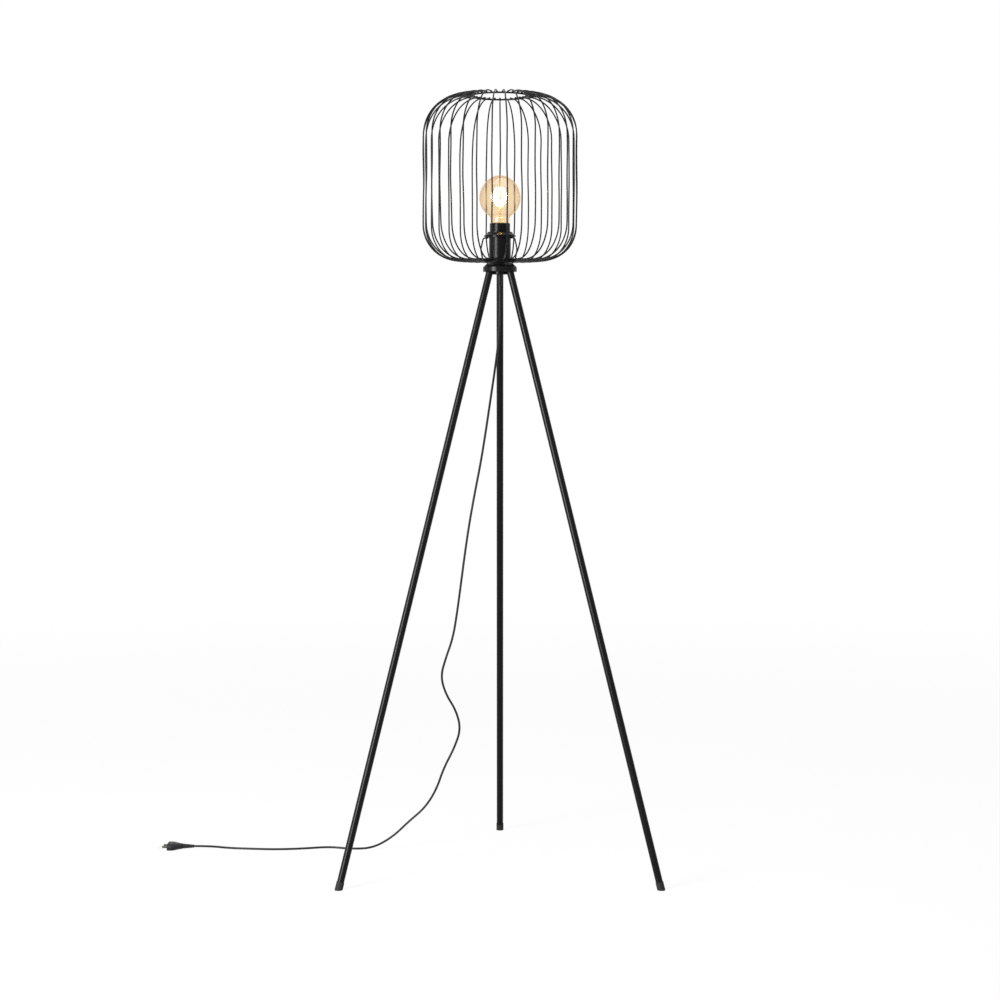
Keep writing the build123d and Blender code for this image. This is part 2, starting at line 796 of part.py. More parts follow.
# Free cord: straight runs joined by arcs as large as the two runs allow.
route = [Vector(*point) for point in cord_points]
runs = [after - before for before, after in zip(route, route[1:])]
cord_radii = []
for before, after in zip(runs, runs[1:]):
    half_turn = radians(before.get_angle(after) / 2)
    cord_radii.append(cord_bend_share * min(before.length, after.length) / tan(half_turn))
with BuildPart() as cord:
    with BuildLine() as cord_path:
        FilletPolyline(*cord_points, radius=cord_radii)
    with BuildSketch(Plane(origin=cord_path.line @ 0, z_dir=cord_path.line % 0)):
        Circle(cord_radius)
    sweep(path=cord_path.line)
save(cord, "cord")
cord_length = cord_path.wire().length
cord_section = Circle(cord_radius).area
print("cord length mm", round(cord_length, 1))
print("cord bend radii mm", [round(radius) for radius in cord_radii])
print("cord volume over section times length", round(cord.part.volume / (cord_section * cord_length), 4))

# Plug at the cord's end, lying flat, its pins pointing away along -X.
cord_end = route[-1]
plug_back = cord_end.X - plug_relief_length
plug_shoulder = plug_back - plug_taper_length
plug_front = plug_shoulder - plug_front_length


def plug_plane(x):
    """Plane square to the plug's axis at x, facing away from the cord."""
    return Plane(origin=(x, cord_end.Y, cord_end.Z), x_dir=(0, 1, 0), z_dir=(-1, 0, 0))


with BuildPart() as plug_relief:
    with BuildSketch(plug_plane(cord_end.X)):
        Circle(plug_relief_end)
    with BuildSketch(plug_plane(plug_back)):
        Circle(plug_back_radius)
    loft()
save(plug_relief, "plug_relief")

with BuildPart() as plug_body:
    with BuildSketch(plug_plane(plug_shoulder)):
        SlotOverall(plug_width, plug_thickness)
    extrude(amount=plug_front_length)
    with BuildSketch(plug_plane(plug_back)):
        SlotOverall(plug_back_width, 2 * plug_back_radius)
    with BuildSketch(plug_plane(plug_shoulder)):
        SlotOverall(plug_width, plug_thickness)
    loft()
save(plug_body, "plug_body")

with BuildPart() as plug_pins:
    with BuildSketch(plug_plane(plug_front)):
        with GridLocations(pin_spacing, 0, 2, 1):
            Circle(pin_radius)
    extrude(amount=pin_length)
    fillet(plug_pins.faces().sort_by(Axis.X)[:2].edges(), pin_end_round)
save(plug_pins, "plug_pins")
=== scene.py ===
from math import cos, pi, radians, sin, sqrt

import bmesh
import bpy
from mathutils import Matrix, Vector


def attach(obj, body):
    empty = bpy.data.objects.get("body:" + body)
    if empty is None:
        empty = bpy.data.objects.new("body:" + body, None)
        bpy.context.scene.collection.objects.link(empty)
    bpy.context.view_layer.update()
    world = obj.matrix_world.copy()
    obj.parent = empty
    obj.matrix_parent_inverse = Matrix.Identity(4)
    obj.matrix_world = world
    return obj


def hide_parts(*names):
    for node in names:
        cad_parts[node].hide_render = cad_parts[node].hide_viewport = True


# Wire cage floor lamp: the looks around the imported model.
# Metres, +Z up, origin on the floor under the lamp's axis.

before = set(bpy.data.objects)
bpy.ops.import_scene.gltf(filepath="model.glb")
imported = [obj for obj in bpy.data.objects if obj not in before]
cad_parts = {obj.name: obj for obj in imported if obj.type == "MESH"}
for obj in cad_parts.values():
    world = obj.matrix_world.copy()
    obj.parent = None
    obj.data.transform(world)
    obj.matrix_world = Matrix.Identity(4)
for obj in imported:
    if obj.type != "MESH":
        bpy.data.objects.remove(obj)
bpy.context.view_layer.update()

# ---------------------------------------------------------------- camera
# Placed from the photograph: about four metres in front of the lamp, a little under
# two thirds of its height, and tipped slightly down.

camera_place = (0.0001, -4.067, 0.963)
camera_focal_length = 76.26
camera_sensor_width = 36.0
camera_tip_down = 3.458

camera_lens = bpy.data.cameras.new("camera")
camera_lens.lens = camera_focal_length
camera_lens.sensor_width = camera_sensor_width
camera = bpy.data.objects.new("camera", camera_lens)
camera.location = camera_place
camera.rotation_euler = (radians(90.0 - camera_tip_down), 0.0, 0.0)
bpy.context.collection.objects.link(camera)
bpy.context.scene.camera = camera

# ---------------------------------------------------------------- cord
# Round two-core flexible cord, 4.4 mm thick, in a black extruded jacket. It hangs from the
# gland under the head, swings once to the side and lies loose on the floor up to its plug.

cord_diameter = 0.0044
cord_exit = (0.0, 0.0, 1.1268)
cord_route = [
    cord_exit,
    (0.0, 0.0, 1.088),
    (-0.0015, 0.006, 1.032),
    (-0.009, 0.014, 0.972),
    (-0.018, 0.022, 0.912),
    (-0.027, 0.031, 0.851),
    (-0.037, 0.041, 0.789),
    (-0.049, 0.050, 0.728),
    (-0.060, 0.060, 0.667),
    (-0.069, 0.070, 0.606),
    (-0.077, 0.080, 0.545),
    (-0.085, 0.090, 0.486),
    (-0.093, 0.098, 0.438),
    (-0.107, 0.105, 0.398),
    (-0.118, 0.112, 0.360),
    (-0.108, 0.119, 0.323),
    (-0.088, 0.126, 0.290),
    (-0.078, 0.132, 0.251),
    (-0.092, 0.139, 0.210),
    (-0.113, 0.146, 0.169),
    (-0.128, 0.153, 0.124),
    (-0.151, 0.160, 0.086),
    (-0.185, 0.166, 0.056),
    (-0.217, 0.171, 0.024),
    (-0.257, 0.166, 0.0022),
    (-0.301, 0.159, 0.0022),
    (-0.346, 0.178, 0.0022),
    (-0.396, 0.162, 0.0022),
    (-0.450, 0.154, 0.0022),
    (-0.505, 0.160, 0.0022),
    (-0.549, 0.167, 0.0022),
    (-0.585, 0.163, 0.0069),
    (-0.618, 0.163, 0.0069),
]


class Field:
    """A number, vector, colour or shape on its way through the nodes of a tree."""

    def __init__(self, tree, socket=None):
        self.tree = tree
        self.socket = socket

    def node(self, kind, settings, sockets, output=0):
        """Add a node: its settings, then its sockets' values or links, and follow one output."""
        made = self.tree.nodes.new(kind)
        for name, value in settings.items():
            setattr(made, name, value)
        for name, value in sockets.items():
            links = value if isinstance(value, list) else [value]
            for link in links:
                if isinstance(link, Field):
                    self.tree.links.new(link.socket, made.inputs[name])
                else:
                    made.inputs[name].default_value = link
        return Field(self.tree, made.outputs[output] if made.outputs else None)

    def output(self, name):
        """Another output of the node that this one comes from."""
        return Field(self.tree, self.socket.node.outputs[name])

    def maths(self, operation, *values):
        """A Math node on these values, in this order."""
        return self.node("ShaderNodeMath", {"operation": operation}, dict(enumerate(values)))

    def __add__(self, other):
        return self.maths("ADD", self, other)

    def __sub__(self, other):
        return self.maths("SUBTRACT", self, other)

    def __mul__(self, other):
        return self.maths("MULTIPLY", self, other)

    def __truediv__(self, other):
        return self.maths("DIVIDE", self, other)

    def __rsub__(self, other):
        return self.maths("SUBTRACT", other, self)

    __radd__ = __add__
    __rmul__ = __mul__


def start_finish(name):
    """A new material, and the coordinates of the piece it is on, in metres."""
    material = bpy.data.materials.new(name)
    material.use_nodes = True
    material.node_tree.nodes.clear()
    place = Field(material.node_tree).node("ShaderNodeTexCoord", {}, {}, "Object")
    return material, place


def end_finish(colour, rough, height, relief, fixed):
    """Close a material: its colour, roughness, relief in metres and fixed values."""
    bump = {"Strength": 1.0, "Distance": relief, "Height": height}
    normal = height.node("ShaderNodeBump", {}, bump)
    sockets = {"Base Color": colour, "Roughness": rough, "Normal": normal, **fixed}
    surface = height.node("ShaderNodeBsdfPrincipled", {}, sockets)
    height.node("ShaderNodeOutputMaterial", {}, {"Surface": surface})


def grain(place, size, detail=2.0):
    """Random patches of about that size in metres, from 0 to 1."""
    sockets = {"Vector": place, "Scale": 1.0 / size, "Detail": detail}
    return place.node("ShaderNodeTexNoise", {}, sockets)


def rise(value, low, high):
    """0 below low, 1 above high, and a smooth step between."""
    sockets = {"Value": value, "From Min": low, "From Max": high}
    return value.node("ShaderNodeMapRange", {"interpolation_type": "SMOOTHSTEP"}, sockets)


def tint(mask, low, high):
    """A colour between two others."""
    sockets = {0: mask, 6: (*low, 1.0), 7: (*high, 1.0)}
    return mask.node("ShaderNodeMix", {"data_type": "RGBA"}, sockets, 2)


jacket, place = start_finish("black cord jacket")
cloud = grain(place, 0.02, 3.0)
skin_marks = grain(place, 0.0009, 2.0)
end_finish(
    tint(cloud, (0.005, 0.005, 0.0055), (0.011, 0.011, 0.012)),
    0.38 + cloud * 0.16,
    skin_marks,
    0.00006,
    {"Specular IOR Level": 0.2},
)


def round_line(name, routes, radius, steps, roundness, finish):
    """A piece of round section along smooth routes of points, one run for each route."""
    curve = bpy.data.curves.new(name, "CURVE")
    curve.dimensions = "3D"
    curve.resolution_u = steps
    curve.bevel_depth = radius
    curve.bevel_resolution = roundness
    curve.use_fill_caps = True
    curve.materials.append(finish)
    for route in routes:
        run = curve.splines.new("NURBS")
        run.points.add(len(route) - 1)
        for control, point in zip(run.points, route):
            control.co = (*point, 1.0)
        run.order_u = 3
        run.use_endpoint_u = True
    piece = bpy.data.objects.new(name, curve)
    bpy.context.collection.objects.link(piece)
    return piece


cord = round_line(
    "cord_jacket", [cord_route], cord_diameter / 2, steps=10, roundness=4, finish=jacket
)
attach(cord, "stand")
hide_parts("cord")

# ---------------------------------------------------------------- cord plug
# Flat two-pin plug moulded on the cord's end in the jacket's own black, with grip grooves,
# a ribbed strain relief behind it and round pins whose roots are sheathed in black.

plug_axis = (0.163, 0.0069)
plug_width = 0.0353
plug_thickness = 0.0138
plug_waist_width = 0.0173
plug_waist_thickness = 0.0104
plug_back = -0.642
plug_shoulder = -0.662
plug_front = -0.671
plug_edge_round = 0.0012
plug_sides = 64
plug_steps = 90
grip_groove_depth = 0.0007
grip_groove_step = 0.0032
grip_groove_share = 0.7
grip_groove_side_share = 0.6
grip_groove_span = (0.15, 0.95)
plug_relief_start = -0.618
plug_relief_small = 0.0031
plug_relief_large = 0.0052
plug_relief_sides = 32
plug_relief_steps = 96
plug_relief_groove_depth = 0.0006
plug_relief_groove_step = 0.003
plug_relief_groove_span = (0.08, 0.94)
relief_groove_share = 0.8


def skin(name, rings, joined, sharp_edge_angle=32.0):
    """A closed mesh through rings of points: joined end to end, or filled at both ends."""
    count = len(rings[0])
    faces = []
    for span in range(len(rings) if joined else len(rings) - 1):
        here = span * count
        there = (span + 1) % len(rings) * count
        for step in range(count):
            after = (step + 1) % count
            faces.append((here + step, here + after, there + after, there + step))
    if not joined:
        faces.append(tuple(range(count)))
        faces.append(tuple(range((len(rings) - 1) * count, len(rings) * count)))
    mesh = bpy.data.meshes.new(name)
    mesh.from_pydata([point for ring in rings for point in ring], [], faces)
    work = bmesh.new()
    work.from_mesh(mesh)
    bmesh.ops.remove_doubles(work, verts=work.verts, dist=1e-7)
    bmesh.ops.recalc_face_normals(work, faces=work.faces)
    for face in work.faces:
        face.smooth = True
    for edge in work.edges:
        edge.smooth = edge.calc_face_angle(0.0) < radians(sharp_edge_angle)
    work.to_mesh(mesh)
    work.free()
    piece = bpy.data.objects.new(name, mesh)
    bpy.context.collection.objects.link(piece)
    return piece


def oval_ring(x, width, thickness):
    """A flat-sided oval square to the plug's axis."""
    ring = []
    for step in range(plug_sides):
        angle = 2 * pi * (step + 0.5) / plug_sides
        across = thickness / 2 * cos(angle)
        across += (width - thickness) / 2 * (1 if cos(angle) > 0 else -1)
        ring.append((x, plug_axis[0] + across, plug_axis[1] + thickness / 2 * sin(angle)))
    return ring


def groove(distance, step, share):
    """1 in the middle of a groove and 0 between grooves, which repeat at that step."""
    return max(0.0, (cos(2 * pi * distance / step) - 1 + share) / share)


plug_rings = []
for step in range(plug_steps + 1):
    travel = (plug_back - plug_front) * step / plug_steps
    share = min(1.0, travel / (plug_back - plug_shoulder))
    eased = share * share * (3 - 2 * share)
    width = plug_waist_width + (plug_width - plug_waist_width) * eased
    thickness = plug_waist_thickness + (plug_thickness - plug_waist_thickness) * eased
    edge = min(travel, plug_back - plug_front - travel)
    if edge < plug_edge_round:
        rounding = plug_edge_round - sqrt(plug_edge_round**2 - (plug_edge_round - edge) ** 2)
        width -= 2 * rounding
        thickness -= 2 * rounding
    if grip_groove_span[0] < share < grip_groove_span[1]:
        cut = groove(travel, grip_groove_step, grip_groove_share) * grip_groove_depth
        thickness -= 2 * cut
        width -= 2 * grip_groove_side_share * cut
    plug_rings.append(oval_ring(plug_back - travel, width, thickness))
plug_body = skin("plug_moulding", plug_rings, False)
plug_body.data.materials.append(jacket)
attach(plug_body, "stand")
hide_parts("plug_body")

plug_relief_rings = []
for step in range(plug_relief_steps + 1):
    share = step / plug_relief_steps
    travel = (plug_relief_start - plug_back) * share
    radius = plug_relief_small + (plug_relief_large - plug_relief_small) * share
    if plug_relief_groove_span[0] < share < plug_relief_groove_span[1]:
        cut = groove(travel, plug_relief_groove_step, relief_groove_share)
        radius -= plug_relief_groove_depth * cut
    x = plug_relief_start - travel
    ring = []
    for spoke in range(plug_relief_sides):
        angle = 2 * pi * spoke / plug_relief_sides
        ring.append((x, plug_axis[0] + radius * cos(angle), plug_axis[1] + radius * sin(angle)))
    plug_relief_rings.append(ring)
plug_relief = skin("plug_bend_relief", plug_relief_rings, False)
plug_relief.data.materials.append(jacket)
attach(plug_relief, "stand")
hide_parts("plug_relief")


def dress(material, *names):
    """Give CAD nodes whose shape is right their real finish."""
    for name in names:
        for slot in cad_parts[name].material_slots:
            slot.material = material


pin_sheath_end = 0.6805
pin_sheath_edge = 0.0003

pin_metal, place = start_finish("nickel pins with sheathed roots")
along = place.node("ShaderNodeSeparateXYZ", {}, {"Vector": place}, "X")
bare = rise(along * -1.0, pin_sheath_end, pin_sheath_end + pin_sheath_edge)
scuff = grain(place, 0.0012, 3.0)
end_finish(
    tint(bare, (0.014, 0.014, 0.015), (0.62, 0.60, 0.56)),
    0.46 - bare * 0.22 + scuff * 0.12,
    scuff,
    0.00002,
    {"Metallic": bare},
)
dress(pin_metal, "plug_pins")

# ---------------------------------------------------------------- legs
# Three straight steel tubes, 13.5 mm across, finished in satin black powder coat with its fine
# orange-peel skin. Each is screwed into the head by a stud in its plugged top.

powder_coat, place = start_finish("satin black powder coat")
cloud = grain(place, 0.05, 3.0)
peel = grain(place, 0.0011, 2.0)
dust = rise(grain(place, 0.0016, 1.0), 0.70, 0.80)
height_up = place.node("ShaderNodeSeparateXYZ", {}, {"Vector": place}, "Z")
near_floor = 1.0 - rise(height_up, 0.02, 0.30)
rub = rise(grain(place, 0.008, 4.0), 0.56, 0.72) * near_floor
end_finish(
    tint(cloud * 0.6 + dust * 0.4 + rub * 0.35, (0.0013, 0.0013, 0.0015), (0.0060, 0.0060, 0.0064)),
    0.22 + cloud * 0.08 + dust * 0.10 - rub * 0.04,
    peel,
    0.000026,
    {"Specular IOR Level": 0.115},
)
dress(powder_coat, "leg_rear", "leg_left", "leg_right")

# Zinc-plated plugs and studs at the tops of the tubes.
zinc, place = start_finish("zinc plate")
cloud = grain(place, 0.004, 4.0)
marks = grain(place, 0.0007, 2.0)
end_finish(
    tint(cloud, (0.42, 0.43, 0.44), (0.62, 0.62, 0.60)),
    0.28 + cloud * 0.22,
    marks,
    0.00003,
    {"Metallic": 1.0},
)
dress(zinc, "leg_inserts", "leg_studs")

# ---------------------------------------------------------------- feet
# Soft black rubber caps pushed over the tubes' ends and cut level with the floor. The
# rubber is dull, a little greyer where it wears and picks up dust.

rubber, place = start_finish("dull black rubber")
height_up = place.node("ShaderNodeSeparateXYZ", {}, {"Vector": place}, "Z")
worn = 1.0 - rise(height_up + grain(place, 0.003, 3.0) * 0.002, 0.001, 0.004)
cloud = grain(place, 0.006, 3.0)
end_finish(
    tint(cloud * 0.5 + worn * 0.5, (0.007, 0.007, 0.007), (0.024, 0.023, 0.021)),
    0.66 + cloud * 0.10 + worn * 0.10,
    grain(place, 0.0008, 3.0),
    0.00008,
    {"Specular IOR Level": 0.2},
)
dress(rubber, "foot_rear", "foot_left", "foot_right")

# ---------------------------------------------------------------- head
# Spun steel shell with neck, cone and rim, powder coated like the legs, over a cast core
# that the legs screw into. A threaded nipple, two nuts and a washer hold them together.

dress(powder_coat, "hub_shell")

casting, place = start_finish("black painted casting")
pits = grain(place, 0.0022, 4.0)
cloud = grain(place, 0.02, 2.0)
end_finish(
    tint(cloud, (0.006, 0.006, 0.0065), (0.014, 0.014, 0.015)),
    0.50 + pits * 0.16,
    pits,
    0.00014,
    {"Specular IOR Level": 0.2},
)
dress(casting, "hub_core")
dress(zinc, "nipple", "core_nut", "shell_nut", "shell_washer")

# ---------------------------------------------------------------- gland and strain relief
# Small moulded disc pressed into the core's pocket where the cord comes out, and below it
# a tapered black sleeve whose rings let it bend with the cord.

moulded_black, place = start_finish("moulded black")
cloud = grain(place, 0.018, 2.0)
texture = grain(place, 0.0005, 2.0)
end_finish(
    tint(cloud, (0.0011, 0.0011, 0.0013), (0.0034, 0.0034, 0.0039)),
    0.22 + cloud * 0.07,
    texture,
    0.000012,
    {"Specular IOR Level": 0.095},
)
dress(moulded_black, "cord_gland")

relief_top = 1.1488
relief_foot = 1.1268
relief_top_radius = 0.0044
relief_foot_radius = 0.0031
relief_bore = 0.0024
relief_sides = 40
relief_steps = 88
relief_groove_depth = 0.0005
relief_groove_span = (0.10, 0.95)
relief_groove_step = 0.0028


def turned(name, outline, sides, pitch=1.0):
    """A closed turned body, its outline given as (radius, height, thread depth)."""
    rings = []
    for step in range(sides):
        angle = 2 * pi * step / sides
        ring = []
        for radius, height, depth in outline:
            reach = radius - depth * (0.5 - 0.5 * cos(2 * pi * height / pitch - angle))
            ring.append((reach * cos(angle), reach * sin(angle), height))
        rings.append(ring)
    return skin(name, rings, True)


relief_outline = [(relief_bore, relief_top, 0.0)]
for step in range(relief_steps + 1):
    share = step / relief_steps
    travel = (relief_top - relief_foot) * share
    radius = relief_top_radius + (relief_foot_radius - relief_top_radius) * share
    if relief_groove_span[0] < share < relief_groove_span[1]:
        radius -= relief_groove_depth * groove(travel, relief_groove_step, relief_groove_share)
    relief_outline.append((radius, relief_top - travel, 0.0))
relief_outline.append((relief_bore, relief_foot, 0.0))
cord_relief = turned("cord_bend_relief", relief_outline, relief_sides)
cord_relief.data.materials.append(jacket)
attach(cord_relief, "stand")
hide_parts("cord_relief")

dress(jacket, "lead_in_hub")

core_plastic, place = start_finish("core insulation")
side_way = place.node("ShaderNodeSeparateXYZ", {}, {"Vector": place}, "X")
cloud = grain(place, 0.004, 2.0)
blue_core = rise(side_way + cloud * 0.0002, -0.0001, 0.0003)
end_finish(
    tint(blue_core, (0.11, 0.042, 0.020), (0.03, 0.11, 0.32)),
    0.34 + cloud * 0.12,
    grain(place, 0.0006, 2.0),
    0.00002,
    {},
)
dress(core_plastic, "lead_cores")

# ---------------------------------------------------------------- lampholder
# Moulded black base cup screwed on the nipple, and a sleeve screwed into it whose outside
# carries the coarse thread for the shade ring. The ring's brim clamps the cage's carrier.

dress(moulded_black, "holder_base", "shade_ring")

sleeve_foot = 1.2070
sleeve_shoulder = 1.2190
sleeve_top = 1.2460
sleeve_radius = 0.0195
sleeve_skirt_radius = 0.0183
sleeve_bore = 0.0144
sleeve_mouth = 0.0173
sleeve_step = 1.2310
sleeve_thread_top = 1.2290
sleeve_thread_pitch = 0.0025
sleeve_thread_depth = 0.0007
sleeve_thread_rows = 64
sleeve_thread_run_out = 6
sleeve_sides = 96
sleeve_lip = 0.0007
sleeve_lip_steps = 4

sleeve_outline = [(sleeve_bore, sleeve_foot, 0.0), (sleeve_skirt_radius, sleeve_foot, 0.0)]
sleeve_outline.append((sleeve_skirt_radius, sleeve_shoulder, 0.0))
sleeve_outline.append((sleeve_radius, sleeve_shoulder, 0.0))
for row in range(1, sleeve_thread_rows + 1):
    height = sleeve_shoulder + (sleeve_thread_top - sleeve_shoulder) * row / sleeve_thread_rows
    fade = min(1.0, row / sleeve_thread_run_out, (sleeve_thread_rows - row) / sleeve_thread_run_out)
    sleeve_outline.append((sleeve_radius, height, sleeve_thread_depth * fade))
for step in range(sleeve_lip_steps + 1):
    angle = pi / 2 * step / sleeve_lip_steps
    out = sleeve_radius - sleeve_lip + sleeve_lip * cos(angle)
    sleeve_outline.append((out, sleeve_top - sleeve_lip + sleeve_lip * sin(angle), 0.0))
for step in range(1, sleeve_lip_steps + 1):
    angle = pi / 2 * step / sleeve_lip_steps
    inner = sleeve_mouth + sleeve_lip - sleeve_lip * sin(angle)
    sleeve_outline.append((inner, sleeve_top - sleeve_lip + sleeve_lip * cos(angle), 0.0))
sleeve_outline.append((sleeve_mouth, sleeve_step, 0.0))
sleeve_outline.append((sleeve_bore, sleeve_step, 0.0))
holder_sleeve = turned(
    "holder_threaded_sleeve", sleeve_outline, sleeve_sides, sleeve_thread_pitch
)
holder_sleeve.data.materials.append(moulded_black)
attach(holder_sleeve, "stand")
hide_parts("holder_sleeve")

# ---------------------------------------------------------------- contacts in the lampholder
# White glazed ceramic insert with a rolled brass screw shell, a sprung centre contact and
# a side contact riveted to it. The cores end in brass blocks under steel screws.

glaze, place = start_finish("white glazed ceramic")
cloud = grain(place, 0.006, 3.0)
end_finish(
    tint(cloud, (0.72, 0.70, 0.66), (0.82, 0.81, 0.78)),
    0.16 + cloud * 0.10,
    grain(place, 0.002, 2.0),
    0.00004,
    {"Coat Weight": 0.3},
)
dress(glaze, "ceramic_insert")

brass, place = start_finish("brass")
cloud = grain(place, 0.005, 4.0)
end_finish(
    tint(cloud, (0.60, 0.38, 0.13), (0.80, 0.57, 0.24)),
    0.24 + cloud * 0.18,
    grain(place, 0.0008, 2.0),
    0.00002,
    {"Metallic": 1.0},
)
dress(brass, "centre_contact", "side_contact", "contact_rivets", "terminal_blocks")
dress(zinc, "terminal_screws")

shell_radius = 0.0141
shell_wall = 0.0003
shell_foot = 1.2070
shell_height = 0.0225
shell_thread_depth = 0.0002
screw_pitch = 0.00363


def rolled_thread(name, radius, wall, foot, height, depth):
    """A thin sheet sleeve with a screw thread rolled into both its faces."""
    rows = 72
    sides = 72
    run_out = 8
    outline = []
    for row in range(rows + 1):
        fade = min(1.0, row / run_out, (rows - row) / run_out)
        outline.append((radius, foot + height * row / rows, depth * fade))
    inside = [(outer - wall, level, cut) for outer, level, cut in reversed(outline)]
    return turned(name, outline + inside, sides, screw_pitch)


screw_shell = rolled_thread(
    "rolled_screw_shell", shell_radius, shell_wall, shell_foot, shell_height, shell_thread_depth
)
screw_shell.data.materials.append(brass)
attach(screw_shell, "stand")
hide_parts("screw_shell")

# ---------------------------------------------------------------- cage
# Thirty-three thin steel wires bent by hand over a former and welded to a ring at the top and
# one at the bottom, then powder coated. No two wires stand quite alike.

wire_radius = 0.0014
ring_wire_radius = 0.0017
cage_radius = 0.1464
cage_wires = 33
first_azimuth = -84.9
wire_top = 1.4896
wire_bottom = 1.1756
top_ring_radius = 0.0542
bottom_ring_radius = 0.030
top_ring_height = 1.4868
bottom_ring_height = 1.1728
end_past_ring = 0.0012
top_corner = 0.0787
bottom_corner = 0.0668
wire_angle_error = 0.35
wire_wander = 0.004
wander_seed = 7
wander_starts_at = 0.075
wander_full_at = 0.140
wander_scale = 11.0
wire_step = 0.006
corner_steps = 24
weld_bead_size = (0.0019, 0.0021, 0.0010)

wire_guide = bpy.data.meshes.new("wire guide")
wire_guide.from_pydata(
    [
        (top_ring_radius - end_past_ring, 0.0, wire_top),
        (cage_radius, 0.0, wire_top),
        (cage_radius, 0.0, wire_bottom),
        (bottom_ring_radius - end_past_ring, 0.0, wire_bottom),
    ],
    [(0, 1), (1, 2), (2, 3)],
    [],
)


def start_shape(name, inputs):
    """A new shape of nodes that works on a guide, with these inputs, and its inputs' node."""
    shape = bpy.data.node_groups.new(name, "GeometryNodeTree")
    for label, kind in {"Geometry": "NodeSocketGeometry", **inputs}.items():
        shape.interface.new_socket(label, in_out="INPUT", socket_type=kind)
    shape.interface.new_socket("Geometry", in_out="OUTPUT", socket_type="NodeSocketGeometry")
    return shape, Field(shape).node("NodeGroupInput", {}, {})


def swept(path, radius, sides):
    """A solid wire of this radius along a path."""
    section = path.node(
        "GeometryNodeCurvePrimitiveCircle", {}, {"Resolution": sides, "Radius": radius}
    )
    sockets = {"Curve": path, "Profile Curve": section, "Fill Caps": True}
    return path.node("GeometryNodeCurveToMesh", {}, sockets)


def set_round(item, turn, count):
    """That many copies of an item on the lamp's axis, each at its own turn, made real."""
    turn = turn.node("ShaderNodeCombineXYZ", {}, {"Z": turn})
    turn = turn.node("FunctionNodeEulerToRotation", {}, {"Euler": turn})
    axis = {"Count": count, "Offset": (0.0, 0.0, 0.0)}
    stations = item.node("GeometryNodeMeshLine", {}, axis)
    sockets = {"Points": stations, "Instance": item, "Rotation": turn}
    copies = stations.node("GeometryNodeInstanceOnPoints", {}, sockets)
    return copies.node("GeometryNodeRealizeInstances", {}, {"Geometry": copies})


def end_shape(geometry, finish):
    """Close a shape with its material."""
    sockets = {"Geometry": geometry, "Material": finish}
    geometry = geometry.node("GeometryNodeSetMaterial", {}, sockets)
    geometry.node("NodeGroupOutput", {}, {"Geometry": geometry})


cage_inputs = {
    "Wires": "NodeSocketInt",
    "Wire radius": "NodeSocketFloat",
    "First angle": "NodeSocketFloat",
    "Top corner": "NodeSocketFloat",
    "Bottom corner": "NodeSocketFloat",
    "Angle error": "NodeSocketFloat",
    "Wander": "NodeSocketFloat",
    "Seed": "NodeSocketInt",
    "Top weld": "NodeSocketVector",
    "Bottom weld": "NodeSocketVector",
    "Weld size": "NodeSocketVector",
    "Finish": "NodeSocketMaterial",
}
cage_shape, given = start_shape("cage of bent wires", cage_inputs)
corner = given.node("GeometryNodeInputIndex", {}, {})
at_top = corner.maths("COMPARE", corner, 1.0, 0.1)
at_bottom = corner.maths("COMPARE", corner, 2.0, 0.1)
corner_radius = at_top * given.output("Top corner") + at_bottom * given.output("Bottom corner")
path = given.node("GeometryNodeMeshToCurve", {}, {"Mesh": given.output("Geometry")})
path = path.node(
    "GeometryNodeFilletCurve",
    {"mode": "POLY"},
    {"Curve": path, "Count": corner_steps, "Radius": corner_radius},
)
spacing = {"Curve": path, "Length": wire_step}
path = path.node("GeometryNodeResampleCurve", {"mode": "LENGTH"}, spacing)
wire = swept(path, given.output("Wire radius"), sides=10)
bead = given.node("GeometryNodeMeshIcoSphere", {}, {"Radius": 1.0, "Subdivisions": 2})
joined = [wire]
for weld in ("Top weld", "Bottom weld"):
    sockets = {
        "Geometry": bead,
        "Translation": given.output(weld),
        "Scale": given.output("Weld size"),
    }
    joined.append(bead.node("GeometryNodeTransform", {}, sockets))
welded = wire.node("GeometryNodeJoinGeometry", {}, {"Geometry": joined})
number = given.node("GeometryNodeInputIndex", {}, {})
error = given.node(
    "FunctionNodeRandomValue", {"data_type": "FLOAT"}, {2: -1.0, 3: 1.0, 8: given.output("Seed")}, 1
)
turn = number / given.output("Wires") * (2 * pi) + given.output("First angle")
turn = turn + error * given.output("Angle error")
all_wires = set_round(welded, turn, given.output("Wires"))
level = (1.0, 1.0, 0.0)
middle = (0.5, 0.5, 0.5)
spot = given.node("GeometryNodeInputPosition", {}, {})
flat = spot.node("ShaderNodeVectorMath", {"operation": "MULTIPLY"}, {0: spot, 1: level})
reach = flat.node("ShaderNodeVectorMath", {"operation": "LENGTH"}, {0: flat}, "Value")
free = rise(reach, wander_starts_at, wander_full_at) * given.output("Wander")
noise = {"Vector": spot, "Scale": wander_scale, "Detail": 0.0}
drift = spot.node("ShaderNodeTexNoise", {}, noise, "Color")
drift = drift.node("ShaderNodeVectorMath", {"operation": "SUBTRACT"}, {0: drift, 1: middle})
drift = drift.node("ShaderNodeVectorMath", {"operation": "MULTIPLY"}, {0: drift, 1: level})
drift = drift.node("ShaderNodeVectorMath", {"operation": "SCALE"}, {0: drift, "Scale": free})
all_wires = all_wires.node("GeometryNodeSetPosition", {}, {"Geometry": all_wires, "Offset": drift})
end_shape(all_wires, given.output("Finish"))


